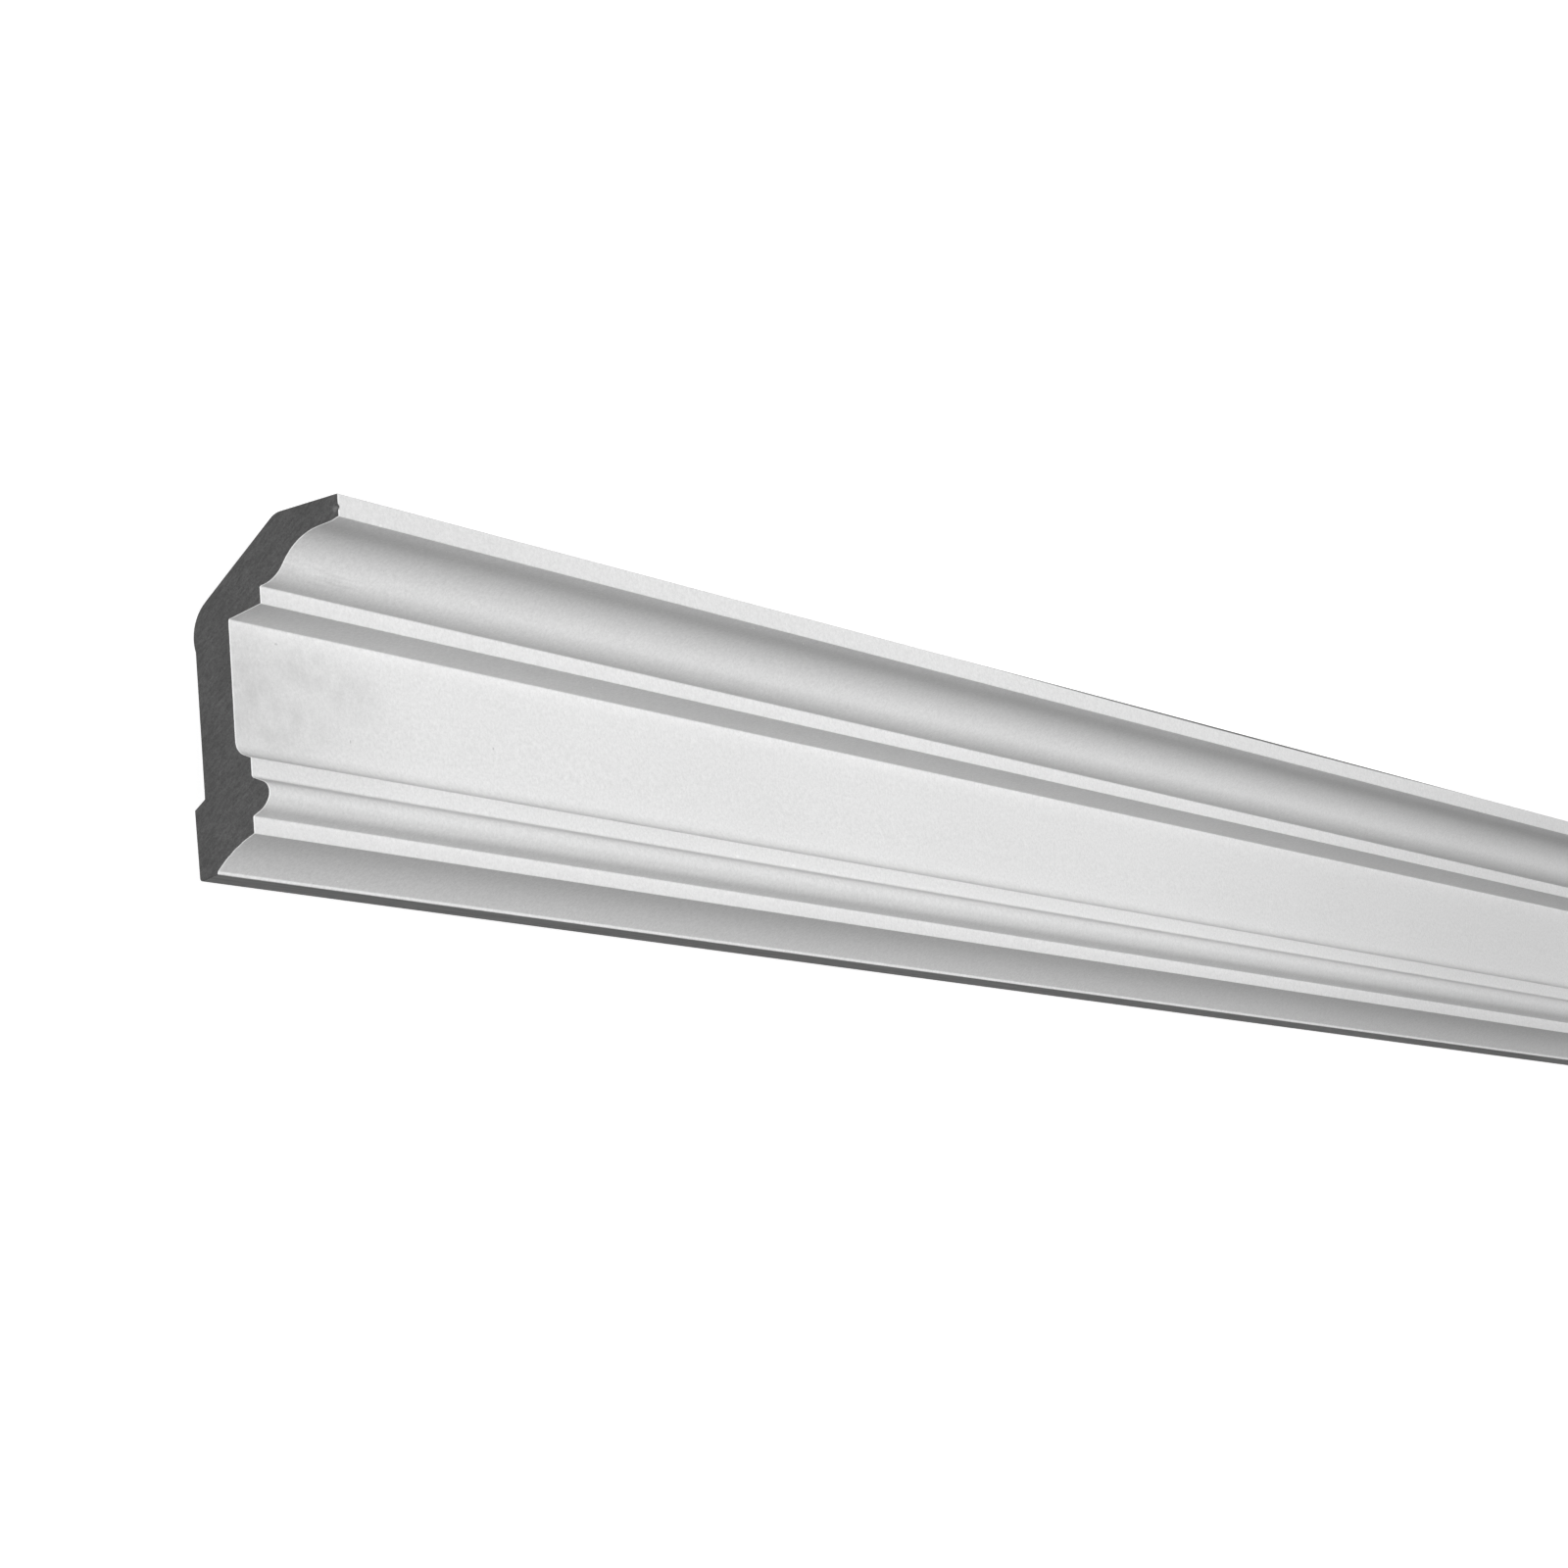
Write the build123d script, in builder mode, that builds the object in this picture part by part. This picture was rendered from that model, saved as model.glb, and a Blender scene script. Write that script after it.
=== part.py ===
"""Cornice moulding of moulded rigid foam, one stock length in one piece, lying on its back.

The section is drawn as the moulding is fixed: wall on the left, ceiling on top, with x measured
out from the wall and y up from the lower edge. The finished part lies as it would on a floor,
on the head of its wall land and on the heel behind the corona, so that its face looks up.
Its length runs along X, the ceiling edge is on the +Y side, and +Z is up.
Sizes are in millimetres and angles in degrees.
"""

import os
from math import acos, asin, atan2, cos, degrees, hypot, radians, tan

from build123d import *

LENGTH = 2000.0

# Upright faces lean out by this much as they rise, so that the casting leaves its mould
DRAFT = 1.6

# Face, from the lower edge up
UNDER_FACE_WIDTH = 7.05
UNDER_FACE_RISE = 1.0
LIP_HEIGHT = 0.75
LOWER_COVE_REACH = 14.55
LOWER_COVE_RISE = 8.25
LOWER_COVE_RADIUS = 38.6
LOWER_FILLET_HEIGHT = 4.85
BEAD_CHIN_REACH = 4.6
BEAD_CHIN_RISE = 1.95
BEAD_CHIN_RADIUS = 2.0
BEAD_CREST_REACH = 8.25
BEAD_CREST_RISE = 7.65
BEAD_NOSE_RADIUS = 3.8
BEAD_HEIGHT = 11.35
BEAD_STEP = 0.6
BEAD_FILLET_HEIGHT = 5.7
SILL_REACH = 5.3
SILL_RISE = 2.5
FASCIA_COVE_RADIUS = 4.9
FASCIA_HEIGHT = 38.6
SOFFIT_REACH = 12.35
SOFFIT_RISE = 1.95
CORONA_FILLET_HEIGHT = 5.05
OVOLO_RADIUS = 11.3
UPPER_COVE_RADIUS = 18.65
CYMA_ANGLE = 53.6
RUNOUT_ANGLE = 4.0
RUNOUT_LENGTH = 5.1
SPLAY_REACH = 2.8
SPLAY_RISE = 0.75
TOP_FILLET_HEIGHT = 6.75

# Back, hidden once the moulding is up
CEILING_LAND_WIDTH = 23.6
CEILING_LAND_RADIUS = 6.0
BACK_ANGLE = 35.0
HEEL_RADIUS = 13.0
HEEL_SETBACK = 4.4
HEEL_STEP = 0.45
RELIEF_FOOT_SETBACK = 4.05
WALL_LAND_HEIGHT = 20.85
WALL_LAND_CHAMFER_RISE = 2.55

# Softened corners: outer arrises, inner roots, and the foot where the two halves of the mould meet
ARRIS_RADIUS = 0.4
ROOT_RADIUS = 0.6
BEAD_TOP_ROOT_RADIUS = 1.1
FOOT_RADIUS = 0.9


def out_by(rise):
    """How far an upright face of that height leans out."""
    return rise * tan(radians(DRAFT))


def corners_at(*points):
    """The corners of the section that lie at those points."""
    return [section.vertices().sort_by_distance(point)[0] for point in points]


# Corners of the face, each measured from the one before
foot = Vector(0, 0)
lip_foot = Vector(UNDER_FACE_WIDTH, UNDER_FACE_RISE)
lip_head = lip_foot + Vector(out_by(LIP_HEIGHT), LIP_HEIGHT)
lower_fillet_foot = lip_head + Vector(LOWER_COVE_REACH, LOWER_COVE_RISE)
bead_low_root = lower_fillet_foot + Vector(out_by(LOWER_FILLET_HEIGHT), LOWER_FILLET_HEIGHT)
bead_chin = bead_low_root + Vector(BEAD_CHIN_REACH, BEAD_CHIN_RISE)
bead_crest = bead_low_root + Vector(BEAD_CREST_REACH, BEAD_CREST_RISE)
bead_top_root = bead_low_root + Vector(BEAD_STEP, BEAD_HEIGHT)
bead_fillet_head = bead_top_root + Vector(out_by(BEAD_FILLET_HEIGHT), BEAD_FILLET_HEIGHT)
fascia_foot = bead_fillet_head + Vector(-SILL_REACH, SILL_RISE)
soffit_root = fascia_foot + Vector(out_by(FASCIA_HEIGHT), FASCIA_HEIGHT)
corona_fillet_foot = soffit_root + Vector(SOFFIT_REACH, SOFFIT_RISE)
cyma_root = corona_fillet_foot + Vector(out_by(CORONA_FILLET_HEIGHT), CORONA_FILLET_HEIGHT)

with BuildSketch() as section:
    with BuildLine():
        # Under face, lip, lower cove and its fillet
        Polyline(foot, lip_foot, lip_head)
        RadiusArc(lip_head, lower_fillet_foot, LOWER_COVE_RADIUS)
        Line(lower_fillet_foot, bead_low_root)
        # Bead, with a full nose and a tighter chin under it
        FilletPolyline(
            bead_low_root,
            bead_chin,
            bead_crest,
            bead_top_root,
            radius=[BEAD_CHIN_RADIUS, BEAD_NOSE_RADIUS],
        )
        # Fillet over the bead, sill, fascia, soffit and corona fillet
        Polyline(bead_top_root, bead_fillet_head, fascia_foot, soffit_root)
        Polyline(soffit_root, corona_fillet_foot, cyma_root)
        # Cyma: an ovolo that turns into the upper cove, which runs out nearly level
        ovolo = JernArc(cyma_root, (1, 0), OVOLO_RADIUS, CYMA_ANGLE)
        upper_cove = JernArc(ovolo @ 1, ovolo % 1, UPPER_COVE_RADIUS, RUNOUT_ANGLE - CYMA_ANGLE)
        runout = PolarLine(upper_cove @ 1, RUNOUT_LENGTH, RUNOUT_ANGLE)
        # Splay and top fillet, up to the ceiling
        splay_head = runout @ 1 + Vector(SPLAY_REACH, SPLAY_RISE)
        top_front = splay_head + Vector(out_by(TOP_FILLET_HEIGHT), TOP_FILLET_HEIGHT)
        Polyline(runout @ 1, splay_head, top_front)
        # Ceiling land and sloping back, which runs into the round heel
        top_back = top_front - Vector(CEILING_LAND_WIDTH, 0)
        heel_out = HEEL_SETBACK + HEEL_RADIUS
        slope_over_heel = top_back.Y - (top_back.X - heel_out) * tan(radians(BACK_ANGLE))
        heel = Vector(heel_out, slope_over_heel - HEEL_RADIUS / cos(radians(BACK_ANGLE)))
        slope_foot = heel + Vector(0, HEEL_RADIUS).rotate(Axis.Z, BACK_ANGLE)
        FilletPolyline(top_front, top_back, slope_foot, radius=CEILING_LAND_RADIUS)
        # The heel turns back in a little, and the relief behind the fascia starts there
        heel_back = heel - Vector(HEEL_RADIUS, 0)
        heel_turn = degrees(acos(1 - HEEL_STEP / HEEL_RADIUS))
        relief_head = heel - Vector(HEEL_RADIUS, 0).rotate(Axis.Z, heel_turn)
        ThreePointArc(slope_foot, heel_back, relief_head)
        # Relief, chamfer and wall land
        relief_foot = Vector(RELIEF_FOOT_SETBACK, WALL_LAND_HEIGHT + WALL_LAND_CHAMFER_RISE)
        wall_land_head = Vector(0, WALL_LAND_HEIGHT)
        Polyline(relief_head, relief_foot, wall_land_head, foot)
    make_face()
    arrises = corners_at(lip_foot, lower_fillet_foot, bead_fillet_head, corona_fillet_foot)
    fillet(arrises + corners_at(splay_head, top_front), ARRIS_RADIUS)
    fillet(corners_at(bead_low_root, soffit_root, cyma_root), ROOT_RADIUS)
    fillet(corners_at(bead_top_root), BEAD_TOP_ROOT_RADIUS)
    fillet(corners_at(fascia_foot), FASCIA_COVE_RADIUS)
    fillet(corners_at(foot), FOOT_RADIUS)

# The moulding lies on the line that touches the wall land's head and the heel
heel_distance = hypot(heel.X, heel.Y - WALL_LAND_HEIGHT)
lean = atan2(heel.X, heel.Y - WALL_LAND_HEIGHT) - asin(HEEL_RADIUS / heel_distance)
lying = section.sketch.rotate(Axis.Z, degrees(lean)).bounding_box()

# Across this plane x runs up and y runs towards the ceiling edge
with BuildPart() as cornice:
    with BuildSketch(Plane(origin=(0, 0, 0), x_dir=(0, 0, 1), z_dir=(-1, 0, 0))):
        with Locations((-lying.min.X, -lying.center().Y)):
            add(section.sketch, rotation=degrees(lean))
    extrude(amount=LENGTH / 2, both=True)

cornice.part.label = "cornice"

os.makedirs("parts", exist_ok=True)
export_step(cornice.part, "parts/cornice.step")
print("height", round(top_front.Y, 2), "projection", round(top_front.X, 2))
print("section area", round(section.sketch.area, 1), "lean", round(degrees(lean), 3))
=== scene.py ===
"""Looks of a stock length of primed foam cornice moulding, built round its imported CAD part.

The file is laid out as a Blender add-on and is run as a script. Lengths are in metres, in the part's
own frame: X along the length, Y from the lower edge to the ceiling edge, Z up and out of the face.
The section is drawn as the moulding is fixed, with x out from the wall and y up from the lower edge,
and is then laid on its back as the CAD part lies.
"""

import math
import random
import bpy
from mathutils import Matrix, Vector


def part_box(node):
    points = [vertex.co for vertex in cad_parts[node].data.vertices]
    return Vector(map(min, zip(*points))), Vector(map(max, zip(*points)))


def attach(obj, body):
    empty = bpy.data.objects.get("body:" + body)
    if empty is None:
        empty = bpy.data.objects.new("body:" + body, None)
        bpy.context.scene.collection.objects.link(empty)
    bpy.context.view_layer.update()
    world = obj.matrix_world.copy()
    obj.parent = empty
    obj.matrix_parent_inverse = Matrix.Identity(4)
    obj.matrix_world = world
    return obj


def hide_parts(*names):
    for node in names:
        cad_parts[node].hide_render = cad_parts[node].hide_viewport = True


bl_info = {
    "name": "Cornice Moulding",
    "version": (1, 0, 0),
    "blender": (4, 5, 0),
    "location": "View3D > Sidebar > Cornice",
    "description": "Builds a primed foam cornice moulding, with its finish, floor, lamps and camera",
    "category": "Object",
}

from functools import partial

import bmesh
import bpy
from bpy.props import FloatProperty, FloatVectorProperty, IntProperty, PointerProperty
from mathutils import Euler, Vector
from mathutils.geometry import delaunay_2d_cdt
from mathutils.noise import noise as random_field

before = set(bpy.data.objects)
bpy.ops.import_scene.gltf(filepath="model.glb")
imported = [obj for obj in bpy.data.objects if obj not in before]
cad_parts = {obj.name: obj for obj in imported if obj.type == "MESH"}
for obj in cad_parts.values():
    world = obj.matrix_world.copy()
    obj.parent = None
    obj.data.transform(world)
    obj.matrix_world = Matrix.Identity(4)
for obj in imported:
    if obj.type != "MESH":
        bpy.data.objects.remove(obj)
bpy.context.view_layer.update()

NODE = "cornice"
BODY = "root"
MM = 0.001


def linear(hex_colour):
    """A colour written as sRGB hex, such as "F0F0F0", as linear red, green and blue."""
    parts = [int(hex_colour[i : i + 2], 16) / 255 for i in (0, 2, 4)]
    return tuple(c / 12.92 if c <= 0.04045 else ((c + 0.055) / 1.055) ** 2.4 for c in parts)


def size(name, description, millimetres):
    """A length that the user may change."""
    return FloatProperty(
        name=name, description=description, default=millimetres * MM, unit="LENGTH", precision=5
    )


def turn(name, description, degrees):
    """An angle that the user may change."""
    return FloatProperty(name=name, description=description, default=math.radians(degrees), subtype="ANGLE")


def colour(name, description, hex_colour):
    """A colour that the user may change."""
    return FloatVectorProperty(
        name=name, description=description, default=linear(hex_colour), subtype="COLOR", min=0, max=1
    )


def power(name, description, watts):
    """A lamp's power that the user may change."""
    return FloatProperty(name=name, description=description, default=watts, min=0, unit="POWER")


class CorniceSection(bpy.types.PropertyGroup):
    """Sizes of the moulding's section, each measured from the corner before it."""

    draft: turn("Draft", "Lean of the upright faces, which frees the mould", 1.6)
    under_face_width: size("Under face width", "Width of the lower edge's underside", 7.05)
    under_face_rise: size("Under face rise", "Rise of the underside towards the lip", 1.0)
    lip_height: size("Lip height", "Height of the lip under the lower cove", 0.75)
    lip_radius: size("Lip radius", "Softening of the lip's lower corner", 0.45)
    lip_root_radius: size("Lip root radius", "Softening of the corner between lip and cove", 0.8)
    lower_cove_reach: size("Lower cove reach", "Reach of the lower cove", 14.55)
    lower_cove_rise: size("Lower cove rise", "Rise of the lower cove", 8.25)
    lower_cove_radius: size("Lower cove radius", "Radius of the lower cove", 38.6)
    lower_fillet: size("Lower fillet", "Height of the fillet over the lower cove", 4.85)
    chin_reach: size("Bead chin reach", "Reach of the bead's chin", 4.6)
    chin_rise: size("Bead chin rise", "Rise of the bead's chin over its root", 1.95)
    chin_radius: size("Bead chin radius", "Radius of the bead's chin", 6.5)
    crest_reach: size("Bead crest reach", "Reach of the bead's crest", 8.25)
    crest_rise: size("Bead crest rise", "Rise of the bead's crest over its root", 7.65)
    nose_radius: size("Bead nose radius", "Radius of the bead's nose", 3.8)
    bead_height: size("Bead height", "Height of the bead", 11.35)
    bead_step: size("Bead step", "Reach between the bead's two roots", 0.6)
    bead_fillet: size("Bead fillet", "Height of the fillet over the bead", 5.7)
    sill_reach: size("Sill reach", "Reach of the sill in to the fascia", 5.3)
    sill_rise: size("Sill rise", "Rise of the sill to the fascia", 2.5)
    fascia_cove_radius: size("Fascia cove radius", "Radius between the sill and the fascia", 4.9)
    fascia_height: size("Fascia height", "Height of the flat fascia", 38.6)
    soffit_reach: size("Soffit reach", "Reach of the soffit over the fascia", 12.35)
    soffit_rise: size("Soffit rise", "Rise of the soffit towards its front", 1.95)
    corona_fillet: size("Corona fillet", "Height of the fillet over the soffit", 5.05)
    ovolo_radius: size("Ovolo radius", "Radius of the cyma's round lower half", 11.3)
    upper_cove_radius: size("Upper cove radius", "Radius of the cyma's hollow upper half", 18.65)
    cyma_turn: turn("Cyma turn", "How far the ovolo turns before the cove begins", 53.6)
    runout_slope: turn("Run-out slope", "Slope at which the cove runs out", 4.0)
    runout_length: size("Run-out length", "Length of the cove's straight run-out", 5.1)
    splay_reach: size("Splay reach", "Reach of the splay under the top fillet", 2.8)
    splay_rise: size("Splay rise", "Rise of the splay under the top fillet", 0.75)
    top_fillet: size("Top fillet", "Height of the fillet under the ceiling", 6.75)
    ceiling_land_width: size("Ceiling land width", "Width of the flat edge that meets the ceiling", 23.6)
    ceiling_land_radius: size("Ceiling land radius", "Radius between the ceiling land and the back", 6.0)
    back_slope: turn("Back slope", "Slope of the back behind the corona", 35.0)
    heel_radius: size("Heel radius", "Radius of the heel that the back rests on", 13.0)
    heel_setback: size("Heel setback", "Gap between heel and wall", 4.4)
    heel_step: size("Heel step", "How far the heel turns back in", 0.45)
    relief_setback: size("Relief setback", "Gap between the relief's foot and the wall", 4.05)
    wall_land_height: size("Wall land height", "Height of the flat edge that meets the wall", 20.85)
    wall_land_chamfer: size("Wall land chamfer", "Rise of the slope over the wall land", 2.55)
    arris_radius: size("Arris radius", "Softening of the outer corners", 0.4)
    root_radius: size("Root radius", "Softening of the inner corners", 0.6)
    bead_root_radius: size("Bead top root radius", "Softening of the inner corner over the bead", 1.1)
    foot_radius: size("Foot radius", "Softening of the lower back corner", 0.9)


class CorniceSawnEnd(bpy.types.PropertyGroup):
    """Sizes of what the saw and handling left at the ends."""

    coat_width: size("Coat width", "Width of the cut coat round the face", 0.18)
    coat_round: size("Coat rounding", "How far the saw broke the coat's edge back", 0.3)
    rings: IntProperty(name="Rings", description="Rings of points along the length", default=190, min=20)
    facet: size("Facet", "Spacing of the points across a sawn end", 1.5)
    waver: size("Waver", "Depth of the blade's waver", 0.05)
    nick_height: size("Nick height", "Height of the nick over the lower edge", 96.0)
    nick_spread: size("Nick spread", "Half width of the nick", 1.1)
    nick_depth: size("Nick depth", "Depth of the nick into the end", 0.75)
    seed: IntProperty(name="Seed", description="Seed of the chance in the wear", default=7)


class CorniceFinish(bpy.types.PropertyGroup):
    """Colours and grain of the surfaces."""

    primer: colour("Primer", "White primer on the face", "E9E9E9")
    # Thin primer: painted shade on the faces that turn away from the lamps overhead, and partly the thinner
    # coat of spray there
    thin: colour("Thin primer", "Primer on the steep faces, which the spray reached less", "CECECE")
    # Cut primer: a painted highlight along the cut edge of the coat at each end
    cut: colour("Cut primer", "Clean primer where the saw has just cut it", "FCFCFC")
    # The smudge grey also greys a broad patch of the fascia towards the near end
    smudge: colour("Smudge", "Grey handling marks in the primer", "B4B4B4")
    pinhole: colour("Pinhole", "Shaded floor of a pinhole", "8E8E8E")
    foam: colour("Foam", "Sawn grey foam", "4A4A4A")
    foam_pale: colour("Pale foam", "Foam that the saw has bruised", "7E7E7E")
    skin: colour("Skin", "Moulded skin of the bare back", "6A6A6A")
    edge: colour("Trimmed edge", "Thin coat on the trimmed lower edge", "949494")
    grain: size("Primer grain", "Size of the sprayed coat's grain", 1.2)
    peel: size("Orange peel", "Size of the sprayed coat's ripples", 1.6)
    kerf: size("Kerf marks", "Spacing of the saw's marks", 0.7)
    kerf_turn: turn("Kerf turn", "Direction of the saw's marks across an end", -50.0)


class CorniceNibs(bpy.types.PropertyGroup):
    """Grains of dust and bubble tips that stand up under the primer."""

    density: FloatProperty(name="Density", description="Nibs in a square metre of arris", default=9000.0)
    least: size("Least radius", "Radius of the smallest nib", 0.12)
    most: size("Most radius", "Radius of the largest nib", 0.3)
    seed: IntProperty(name="Seed", description="Seed of the nibs' places", default=11)


class CorniceStage(bpy.types.PropertyGroup):
    """Floor, lamps and camera."""

    lens: FloatProperty(name="Lens", description="Focal length in mm, for a 36 mm sensor", default=90.0)
    camera_place: FloatVectorProperty(
        name="Camera place",
        description="Where the camera stands",
        default=(-1.8287, -0.20186, 0.74722),
        unit="LENGTH",
    )
    camera_turn: FloatVectorProperty(
        name="Camera turn",
        description="Which way the camera looks",
        default=[math.radians(d) for d in (11.5522, -56.3007, -3.2056)],
        subtype="EULER",
    )
    paper: colour("Paper", "White of the floor and the studio as they are seen", "FFFFFF")
    bounce: colour("Bounce", "Grey of the floor as it lights the moulding", "585858")
    floor_size: size("Floor size", "Side of the floor", 60_000)
    near: power("Near lamp", "Power of the lamp over the near half", 10.4)
    far: power("High lamp", "Power of the lamp high over the far half", 2.4)
    beyond: power("Far lamp", "Power of the lamp over the far half", 0.85)
    near_end: power("Near end lamp", "Power of the lamp before the near end", 5.5)
    far_end: power("Far end lamp", "Power of the lamp before the far end", 5.5)
    beside: power("Side lamp", "Power of the low lamp beside the ceiling edge", 9.0)
    fill: FloatProperty(name="Fill", description="Strength of the even light from all round", default=0.05)


class CorniceSettings(bpy.types.PropertyGroup):
    """Everything that the panel shows."""

    section: PointerProperty(type=CorniceSection)
    ends: PointerProperty(type=CorniceSawnEnd)
    finish: PointerProperty(type=CorniceFinish)
    nibs: PointerProperty(type=CorniceNibs)
    stage: PointerProperty(type=CorniceStage)


# Section

ARC_STEP = math.radians(7)
LONGEST_STEP = 4 * MM
# The top fillet has closer points, so that the nick can be broken out of it
NICK_STEP = 0.45 * MM


def heading_of(a, b):
    return math.atan2(b.y - a.y, b.x - a.x)


def towards(heading, length=1.0):
    return Vector((math.cos(heading), math.sin(heading))) * length


def straight(a, b, longest=LONGEST_STEP):
    """Evenly spaced points from a to b."""
    steps = max(1, math.ceil((b - a).length / longest))
    return [a.lerp(b, i / steps) for i in range(steps + 1)]


def arc(start, heading, radius, angle):
    """Points along an arc that starts that way and turns left by angle, or right where it is negative."""
    side = math.copysign(1, angle)
    centre = start + towards(heading + side * math.pi / 2, radius)
    steps = max(2, math.ceil(abs(angle) / ARC_STEP))
    first = heading - side * math.pi / 2
    return [centre + towards(first + angle * i / steps, radius) for i in range(steps + 1)]


def hollow(a, b, radius):
    """An arc from a to b that bulges into the foam."""
    half = math.asin((b - a).length / 2 / radius)
    return arc(a, heading_of(a, b) + half, radius, -2 * half)


def shortened(points, length):
    """The points with that length taken off their end."""
    points = list(points)
    while (points[-1] - points[-2]).length <= length and len(points) > 2:
        length -= (points[-1] - points[-2]).length
        points.pop()
    points[-1] = points[-1].lerp(points[-2], length / (points[-1] - points[-2]).length)
    return points


def softened(before, after, radius):
    """Two stretches that meet, cut back, and the arc that rounds their corner."""
    heading = heading_of(before[-2], before[-1])
    angle = (heading_of(after[0], after[1]) - heading + math.pi) % (2 * math.pi) - math.pi
    setback = radius * math.tan(abs(angle) / 2)
    before = shortened(before, setback)
    after = shortened(after[::-1], setback)[::-1]
    return before, arc(before[-1], heading, radius, angle)[1:-1], after


def heel_centre(s, top_back):
    """Middle of the heel's round, which the sloping back runs into."""
    out = s.heel_setback + s.heel_radius
    slope_height = top_back.y - (top_back.x - out) * math.tan(s.back_slope)
    return Vector((out, slope_height - s.heel_radius / math.cos(s.back_slope)))


def section_stretches(s):
    """The outline from the foot, up the face and down the back.

    Each stretch is its zone, its points and the radius that softens its first corner."""

    def up(rise):
        return Vector((rise * math.tan(s.draft), rise))

    foot = Vector((0, 0))
    lip_foot = Vector((s.under_face_width, s.under_face_rise))
    lip_head = lip_foot + up(s.lip_height)
    lower_fillet_foot = lip_head + Vector((s.lower_cove_reach, s.lower_cove_rise))
    low_root = lower_fillet_foot + up(s.lower_fillet)
    chin = low_root + Vector((s.chin_reach, s.chin_rise))
    crest = low_root + Vector((s.crest_reach, s.crest_rise))
    top_root = low_root + Vector((s.bead_step, s.bead_height))
    bead_fillet_head = top_root + up(s.bead_fillet)
    fascia_foot = bead_fillet_head + Vector((-s.sill_reach, s.sill_rise))
    soffit_root = fascia_foot + up(s.fascia_height)
    corona_foot = soffit_root + Vector((s.soffit_reach, s.soffit_rise))
    cyma_root = corona_foot + up(s.corona_fillet)
    ovolo = arc(cyma_root, 0, s.ovolo_radius, s.cyma_turn)
    cove = arc(ovolo[-1], s.cyma_turn, s.upper_cove_radius, s.runout_slope - s.cyma_turn)
    splay_foot = cove[-1] + towards(s.runout_slope, s.runout_length)
    splay_head = splay_foot + Vector((s.splay_reach, s.splay_rise))
    top_front = splay_head + up(s.top_fillet)
    top_back = top_front - Vector((s.ceiling_land_width, 0))
    heel = heel_centre(s, top_back)
    slope_foot = heel + towards(s.back_slope + math.pi / 2, s.heel_radius)
    heel_turn = math.pi / 2 - s.back_slope + math.acos(1 - s.heel_step / s.heel_radius)
    heel_arc = arc(slope_foot, s.back_slope + math.pi, s.heel_radius, heel_turn)
    relief_foot = Vector((s.relief_setback, s.wall_land_height + s.wall_land_chamfer))
    wall_land_head = Vector((0, s.wall_land_height))
    return [
        ("under", straight(foot, lip_foot), s.foot_radius),
        ("face", straight(lip_foot, lip_head), s.lip_radius),
        ("face", hollow(lip_head, lower_fillet_foot, s.lower_cove_radius), s.lip_root_radius),
        ("face", straight(lower_fillet_foot, low_root), s.arris_radius),
        ("face", straight(low_root, chin), s.root_radius),
        ("face", straight(chin, crest), s.chin_radius),
        ("face", straight(crest, top_root), s.nose_radius),
        ("face", straight(top_root, bead_fillet_head), s.bead_root_radius),
        ("face", straight(bead_fillet_head, fascia_foot), s.arris_radius),
        ("face", straight(fascia_foot, soffit_root), s.fascia_cove_radius),
        ("face", straight(soffit_root, corona_foot), s.root_radius),
        ("face", straight(corona_foot, cyma_root), s.arris_radius),
        ("face", ovolo, s.root_radius),
        ("face", cove, 0),
        ("face", straight(cove[-1], splay_foot), 0),
        ("face", straight(splay_foot, splay_head), 0),
        ("face", straight(splay_head, top_front, NICK_STEP), s.arris_radius),
        ("back", straight(top_front, top_back), s.arris_radius),
        ("back", straight(top_back, slope_foot), s.ceiling_land_radius),
        ("back", heel_arc, 0),
        ("back", straight(heel_arc[-1], relief_foot), 0),
        ("back", straight(relief_foot, wall_land_head), 0),
        ("back", straight(wall_land_head, foot), 0),
    ]


def section_outline(s):
    """Points of the closed outline, anticlockwise from the foot, and the zone that each starts."""
    stretches = [list(stretch) for stretch in section_stretches(s)]
    rounds = {}
    for i, (zone, points, radius) in enumerate(stretches):
        if radius:
            before = stretches[i - 1][1]
            stretches[i - 1][1], rounds[i], stretches[i][1] = softened(before, points, radius)
    outline, zones = [], []
    for i, (zone, points, radius) in enumerate(stretches):
        lead = "face" if "face" in (zone, stretches[i - 1][0]) else zone
        corner = rounds.get(i, [])
        last = len(points) if (i + 1) % len(stretches) in rounds else len(points) - 1
        outline += corner + points[:last]
        zones += [lead] * len(corner) + [zone] * last
    return outline, zones


def lean_of(s):
    """Angle by which the moulding leans when it lies on its wall land's head and its heel."""
    corners = [p for zone, points, radius in section_stretches(s) for p in points]
    top_front = Vector((max(p.x for p in corners), max(p.y for p in corners)))
    heel = heel_centre(s, top_front - Vector((s.ceiling_land_width, 0)))
    rise = heel.y - s.wall_land_height
    return math.atan2(heel.x, rise) - math.asin(s.heel_radius / math.hypot(heel.x, rise))


class Lie:
    """How the moulding lies: turned by its lean, on the floor, with the middle of its box at the origin."""

    def __init__(self, outline, lean, half):
        self.cos, self.sin = math.cos(lean), math.sin(lean)
        self.half = half
        self.shift = Vector((0, 0))
        laid = [self.point(p) for p in outline]
        across = [p.x for p in laid]
        self.shift = Vector((-(min(across) + max(across)) / 2, -min(p.y for p in laid)))

    def point(self, p):
        """(Y, Z) of a point of the section."""
        laid = Vector((p.x * self.sin + p.y * self.cos, p.x * self.cos - p.y * self.sin))
        return laid + self.shift

    def mark(self, x, out, up):
        """(X, Y, Z) of a mark, from its millimetres along from the near end, out and up."""
        return (x * MM - self.half, *self.point(Vector((out, up)) * MM))


# Nodes


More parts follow.
